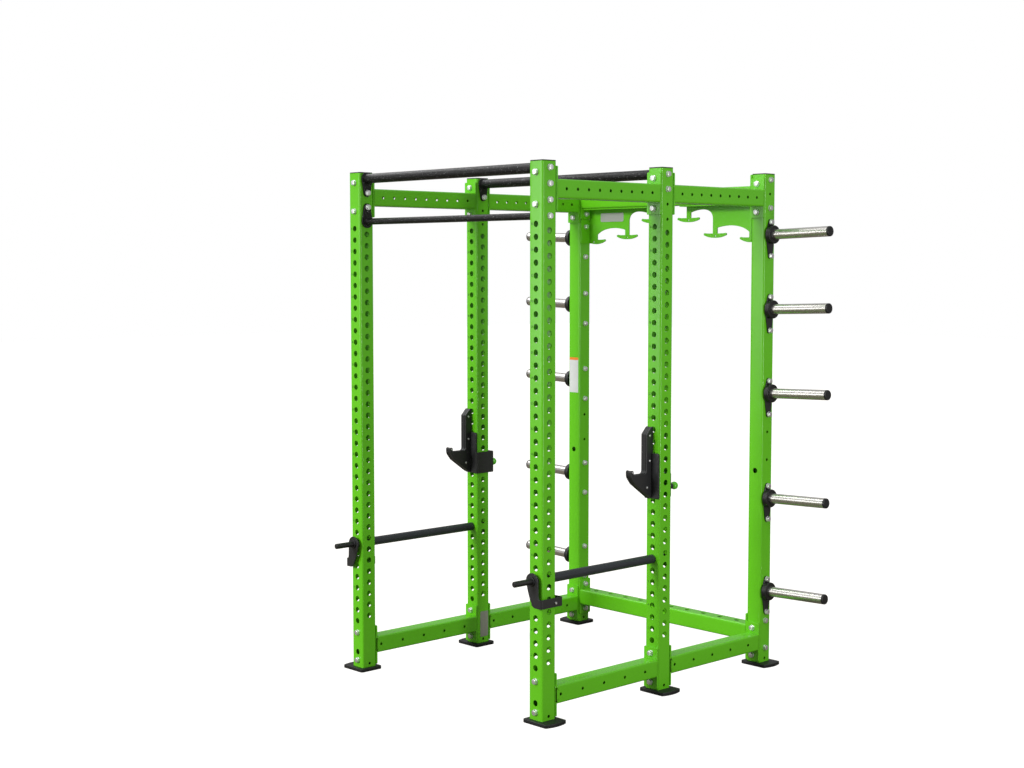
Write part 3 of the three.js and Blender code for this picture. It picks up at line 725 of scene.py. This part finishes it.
def hook_outline():
    """Right-hand outline: the lower edge steps down in two T hooks and a half hook."""
    def tee(left, right, over, under, stem_left, stem_right):
        """The arms of a T: round tips that turn up a little, and a bowed underside."""
        mid = (left + right) / 2
        return np.concatenate([
            curve((stem_left, over), (stem_left - 22, over), (left + 12, over), (left + 6, over + 2), 6),
            arc(left + 5, over - 4, 5.6, 80, 235, 8),
            curve((left + 8, over - 11), (mid - 34, under), (mid - 12, under), (mid, under), 8),
            curve((mid, under), (mid + 12, under), (mid + 34, under), (right - 8, over - 11), 8)[1:],
            arc(right - 5, over - 4, 5.6, -55, 100, 8),
            curve((right - 6, over + 2), (right - 12, over), (stem_right + 22, over),
                  (stem_right, over), 6)])
    parts = [
        np.array([(103.5, HOOK_TOP)]),
        tee(47.5, 181.5, 2036, 2016, 103.5, 129.5),
        curve((129.5, 2061), (160, 2072), (263.5, 2094), (263.5, 2028), 16),
        tee(209.5, 344.5, 1961.5, 1941, 263.5, 289.5),
        curve((289.5, 1987), (340, 2001), (430, 2004), (477, 1966), 16),
        np.array([(477, 1941)]),
        curve((472, 1941), (450, 1941), (435, 1941), (429, 1943), 5),
        arc(428, 1937, 5.6, 80, 235, 8),
        curve((431, 1930), (456, 1919), (478, 1917), (505, 1920), 8),
        np.array([(hook_outer - 4, 1924), (hook_outer - 4, 2042), (hook_end, 2042), (hook_end, HOOK_TOP)]),
    ]
    return np.concatenate(parts)


hook_bolts = []
for side, sign in SIDES.items():
    out = sign * X
    outline = hook_outline()
    web = plate(outline, ((0, hook_front, 0), out, Z, Y), HOOK_SHEET, 0.7,
                holes=[(115, 2026, 4), (277.5, 1950, 4), (503, 1930, 4)])
    shelf = rounded([(103.5, -55, 6), (hook_end, -55, 0), (hook_end, 5, 0), (103.5, 5, 0)], 4)
    shelf = plate(shelf, ((0, hook_front, HOOK_TOP), out, Y, -Z), HOOK_SHEET, 0.7)
    flange = rounded([(-60, 1922, 8), (5, 1922, 2), (5, 2042, 2), (-60, 2042, 8)], 4)
    flange = plate(flange, ((sign * hook_outer, hook_front, 0), Y, Z, -out), HOOK_SHEET, 0.7)
    piece(f"hook_web_{side}", [web, shelf, flange], LIME, stands_for=[f"hook_plate_{side}"])
    hook_bolts.append(hex_bolt((sign * (hook_outer - HOOK_SHEET), ROW_Y["rear"], 2006), -out))

badge = rounded([(-453, 2028, 7), (-300, 2028, 7), (-300, 2071, 7), (-453, 2071, 7)], 5)
piece("blank_badge", [plate(badge, ((0, hook_front, 0), X, Z, -Y), 1.2, 0.4)], BLANK)

# ---------------------------------------------------------------- safeties

PIN_Z = 575.0
SHEET = 5.5                     # thickness of the lock's folded strap
BEND = 7.25                     # radius of its bends, at the middle of the sheet
front_y = ROW_Y["front"]


def lock_strap():
    """Outline of the lock's front: a round head about the pin, narrowing to a tail that turns outwards."""
    return np.concatenate([
        arc(0, 0, 33, 0, 200, 28),
        curve((-26, -28), (-18, -56), (-11, -72), (-7, -78), 6),
        curve((-4, -84), (2, -98), (8, -105), (20, -105), 8),
        np.array([(44.0, -105.0), (44.0, -69.0)]),
        curve((42, -69), (37, -68), (35.5, -62), (35, -50), 6)])


for side, sign in SIDES.items():
    out = sign * X
    body = f"safety_{side}"
    low, high = box_mm(f"safety_pin_{side}")
    x = sign * SIDE_X
    reach = high[1] - low[1]
    rod = turned([(0, 0), (0, 9.5), (1, 11), (2.5, 12), (reach - 4, 12), (reach, 9), (reach, 0)],
                 (x, low[1], PIN_Z), Y, 32)
    boss = [(0, 12), (0, 18.5), (0.5, 19.6), (1.5, 20), (24.5, 20), (25.5, 19.6), (26, 18.5), (26, 0)]
    boss = turned(boss, (x, front_y - 64, PIN_Z), Y, 48)
    strap = plate(lock_strap(), ((x, front_y - 59, PIN_Z), out, Z, Y), SHEET, 0.9)
    path = np.concatenate([[[28.0, -56.25]], arc(43, -49, BEND, -90, 0, 8), arc(43, 54, BEND, 0, 90, 8),
                           [[-1.5, 61.25]]])
    wrap = plate(band(path, SHEET - 0.1), ((x, front_y, 470), out, Y, Z), 36.0, 0.9)
    stud = turned([(0, 0), (0, 5), (5.8, 5), (6.8, 4.2), (6.8, 0)],
                  (x + sign * 53, front_y + 20, 486), out, 20)
    piece(f"safety_lock_{side}", [strap, wrap], BLACK, body, [f"safety_pin_{side}"])
    piece(f"safety_rod_{side}", [rod, boss], MATT_COAT, body, [f"safety_pin_{side}"])
    piece(f"safety_latch_{side}", [stud], ZINC, body)
    low, high = box_mm(f"safety_sleeve_{side}")
    reach = high[1] - low[1]
    pipe = turned([(0, 14), (0, 17.8), (1.2, 19), (reach - 1.2, 19), (reach, 17.8), (reach, 14), (0, 14)],
                  (x, low[1], PIN_Z), Y, 40)
    piece(f"safety_pipe_{side}", [pipe], PIPE, f"sleeve_{side}", [f"safety_sleeve_{side}"])

# ---------------------------------------------------------------- J-cups and pull pins

CUP_FACE = ROW_Y["middle"] - HALF
PULL_Z = 875.0
CUP_BOLTS = ((21, 1100), (21, 994), (37, 882))  # each forward of the upright's face, and its height
BALL = 17.0                     # radius of the pull pin's knob
BALL_Y = 97.5                   # its centre behind the upright's centre


def cup_profile(grow=0.0, shrink=0.0):
    """Side view of a J-cup as (distance forward of the upright, height): tall back wall, saddle, lip."""
    g, s = grow, shrink
    return rounded([(1 + s, 1137 - s, 3), (12, 1137 - s, 5), (40 + g, 1107, 6), (40 + g, 940 + g, 14),
                    (119.5 - g, 940 + g, 7), (119.5 - g, 961 - s, 7.6 - g), (135.4 - s, 961 - s, 7.6),
                    (134.5 - s, 932, 30), (109, 901 + s, 14), (19, 839 + s, 8), (1 + s, 836 + s, 3)], 6)


for side, sign in SIDES.items():
    x = sign * SIDE_X
    y = ROW_Y["middle"]
    shells = [plate(cup_profile(), ((x + at, CUP_FACE, 0), -Y, Z, X), 6.0, 1.0) for at in (-32, -6)]
    flange = rounded([(-37, 834, 6), (38, 834, 6), (38, 1026, 10), (-37, 1026, 10)], 5)
    shells.append(plate(flange, ((x, y - 47, 0), X, Z, Y), 8.9, 1.5))
    path = np.concatenate([[[20.0, -43.5]], arc(34, -35.5, 8, -90, 0, 8), arc(34, 53.5, 8, 0, 90, 8),
                           [[-12.0, 61.5]]])
    shells.append(plate(band(path, 6.5), ((x, y, 832), -sign * X, Y, Z), 100.0, 1.2))
    shells.append(turned([(0, 0), (0, 11), (26, 11), (28, 9.5), (28, 0)], (x, y - 38, 975), Y, 32))
    piece(f"cup_frame_{side}", shells, BLACK, stands_for=[f"jcup_bracket_{side}"])
    liner = plate(cup_profile(1.5, 1.5), ((x - 25.7, CUP_FACE, 0), -Y, Z, X), 19.4, 0.8)
    piece(f"cup_liner_{side}", [liner], MATT, stands_for=[f"jcup_liner_{side}"])
    bolts = [dome_bolt((x, CUP_FACE - d, z), X) for d, z in CUP_BOLTS]
    bolts += [dome_bolt((x - 32, CUP_FACE - d, z), -X) for d, z in CUP_BOLTS]
    bolts.append(turned([(0, 0), (0, 3.6), (33, 3.6), (33, 0)], (x - 32.5, CUP_FACE - 127.5, 953), X, 20))
    piece(f"cup_bolts_{side}", bolts, ZINC)
    housing = turned([(40, 8.6), (40, 11), (41, 12), (79, 12), (80, 11.2), (80, 4.6), (77, 4.6), (77, 8.6),
                      (40, 8.6)], (x, y, PULL_Z), Y, 36)
    piece(f"pull_housing_{side}", [housing], BLACK, stands_for=[f"pin_housing_{side}"])
    body = f"pull_pin_{side}"
    shaft = [(24, 0), (24, 6.6), (25.4, 8), (47, 8), (47, 4), (92, 4), (92, 0)]
    shaft = turned(shaft, (x, y, PULL_Z), Y, 28)
    piece(f"pull_shaft_{side}", [shaft], ZINC, body, [f"pull_pin_{side}"])
    ball = [(BALL_Y - BALL * cos(a), BALL * sin(a)) for a in np.radians(np.linspace(28, 180, 20))]
    collar = [(82.4, 4.4), (80.8, 4.4), (80.6, 5.0), (80.6, 7.4), (81.2, 8.0)]
    ball = [(91.8, 0), (91.8, 4.4)] + collar + ball[:-1] + [(BALL_Y + BALL, 0)]
    ball = turned(ball, (x, y, PULL_Z), Y, 36)
    piece(f"pull_ball_{side}", [ball], KNOB, body, [f"pin_knob_{side}"])
    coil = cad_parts[f"pin_spring_{side}"].data.materials
    coil.clear()
    coil.append(ZINC)

# ---------------------------------------------------------------- plates, labels and numbers

low, high = box_mm("name_plate")
outline = rounded([(low[1], low[2], 5), (high[1], low[2], 5), (high[1], high[2], 5),
                   (low[1], high[2], 5)], 4)
maker_plate = plate(outline, ((low[0], 0, 0), Y, Z, X), 1.0, 0.3)
piece("maker_plate_blank", [maker_plate], BLANK, stands_for=["name_plate"])

# A blank label on the front of the rear left upright, with a coloured band along its top.
label = (-SIDE_X, ROW_Y["rear"] - HALF, 0)
for name, low, high, vinyl in (("sheet", 1177, 1340, LABEL), ("band", 1340, 1353, LABEL_BAND)):
    outline = rounded([(-31, low, 1), (29, low, 1), (29, high, 1), (-31, high, 1)], 3)
    piece(f"blank_label_{name}", [plate(outline, (label, X, Z, -Y), 0.3, 0.1)], vinyl)


def figures(text, height, origin, first, second):
    """Raised figures centred on a point of a face: a solid text shape laid along the face's two axes."""
    words = bpy.data.curves.new("figures", "FONT")
    words.body = text
    words.align_x, words.align_y = "CENTER", "CENTER"
    words.size, words.extrude, words.resolution_u = height, 0.15, 2
    thing = bpy.data.objects.new("figures", words)
    mesh = bpy.data.meshes.new_from_object(thing)
    corners = np.empty(len(mesh.vertices) * 3)
    mesh.vertices.foreach_get("co", corners)
    corners = corners.reshape(-1, 3)
    quads = [(list(face.vertices) + [face.vertices[2]])[:4] for face in mesh.polygons]
    bpy.data.objects.remove(thing)
    bpy.data.curves.remove(words)
    bpy.data.meshes.remove(mesh)
    across, up, out = corners.T[:, :, None]
    return origin + across * first + up * second + out * np.cross(first, second), np.array(quads)


# Every second hole has its number beside it, squeezed a little in width.
FIGURE_SIZE = 14.0
FIGURE_SQUEEZE = 0.8
FIGURE_OFFSET = 22.0            # from the hole's centre

for row in ("front", "middle"):
    for side, sign in SIDES.items():
        marks = []
        for i, (z, *_) in enumerate(LADDER_FRONT[1::2]):
            at = np.array([sign * SIDE_X - FIGURE_OFFSET, ROW_Y[row] - HALF, z])
            marks.append(figures(str(2 * i + 2), FIGURE_SIZE, at, FIGURE_SQUEEZE * X, Z))
        piece(f"hole_numbers_{row}_{side}", marks, MATT)

piece("bolts_frame", frame_bolts, ZINC)
piece("bolts_bars", bar_bolts, ZINC)
piece("bolts_horns", horn_bolts, ZINC)
piece("bolts_hooks", hook_bolts, ZINC)

# ---------------------------------------------------------------- floor, light and camera

floor_mesh = bpy.data.meshes.new("floor")
wide = 30.0
corners = [(-wide, -wide, 0), (wide, -wide, 0), (wide, wide, 0), (-wide, wide, 0)]
floor_mesh.from_pydata(corners, [], [(0, 1, 2, 3)])
floor = bpy.data.objects.new("floor", floor_mesh)
bpy.context.collection.objects.link(floor)
FLOOR, tree, surface, _ = finish("pale_floor", "none", {"Base Color": colour("#7A7468"), "Roughness": 1.0,
                                                       "Specular IOR Level": 0.0,
                                                       "Emission Color": (1, 1, 1, 1)})
seen = node(tree, "ShaderNodeLightPath").outputs["Is Camera Ray"]
tree.links.new(seen, surface.inputs["Emission Strength"])
floor_mesh.materials.append(FLOOR)
floor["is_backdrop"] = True

# Studio walls: white to the eye, and to the object a grey room with a bright band below the horizon
# and a white ceiling.
world = bpy.data.worlds.new("studio")
bpy.context.scene.world = world
world.use_nodes = True
tree = world.node_tree
height = node(tree, "ShaderNodeSeparateXYZ", {0: node(tree, "ShaderNodeTexCoord").outputs["Generated"]})
ramp = node(tree, "ShaderNodeValToRGB", {"Fac": node(tree, "ShaderNodeMapRange", {
    "Value": height.outputs["Z"], "From Min": -1.0}).outputs["Result"]})
stops = ramp.color_ramp.elements
stops[0].color = (0.12, 0.12, 0.12, 1)
for position, level in ((0.47, 0.6), (0.52, 0.3), (0.75, 0.38)):
    stops.new(position).color = (level, level, level, 1)
seen = node(tree, "ShaderNodeLightPath").outputs["Is Camera Ray"]
shade = node(tree, "ShaderNodeMix", {"Factor": seen, "A": ramp.outputs["Color"], "B": (1, 1, 1, 1)},
             data_type="RGBA")
tree.links.new(shade.outputs["Result"], tree.nodes["Background"].inputs["Color"])


def lamp(kind, name, place, aim, **settings):
    """A light of a kind at a place, facing a point, seen in reflections but not by the camera."""
    light = bpy.data.lights.new(name, kind)
    for key, value in settings.items():
        setattr(light, key, value)
    thing = bpy.data.objects.new(name, light)
    thing.location = place
    thing.rotation_euler = (Vector(place) - Vector(aim)).to_track_quat("Z", "Y").to_euler()
    thing.visible_camera = False
    bpy.context.collection.objects.link(thing)


lamp("AREA", "softbox", (-2.2, -4.4, 2.15), (-2.2, 0, 2.15), size=2.5, energy=66)
lamp("SUN", "front_fill", (-1.5, -10, 4.5), (0, 0, 0), energy=1.98, angle=radians(15))
lamp("AREA", "side_strip", (4.7, 0.3, 1.6), (0, 0.1, 1.1), shape="RECTANGLE", size=0.3, size_y=2.5,
     energy=76)
lamp("AREA", "ceiling_panel", (-3.0, -0.5, 4.2), (0, 0, 1.2), size=2.4, energy=60)

camera = bpy.data.objects.new("camera", bpy.data.cameras.new("camera"))
camera.data.sensor_width = 36.0
camera.data.lens = 55.755
camera.data.clip_end = 100
camera.location = (5.0222, -4.9596, 1.8179)
camera.rotation_euler = (radians(90 - 4.309), 0, radians(46.937))
bpy.context.collection.objects.link(camera)
bpy.context.scene.camera = camera
bpy.context.scene.view_settings.view_transform = "Standard"

boxes = {"cad": cad_bounds, "visual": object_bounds()}
{name: [list(corner) for corner in box] for name, box in boxes.items()}
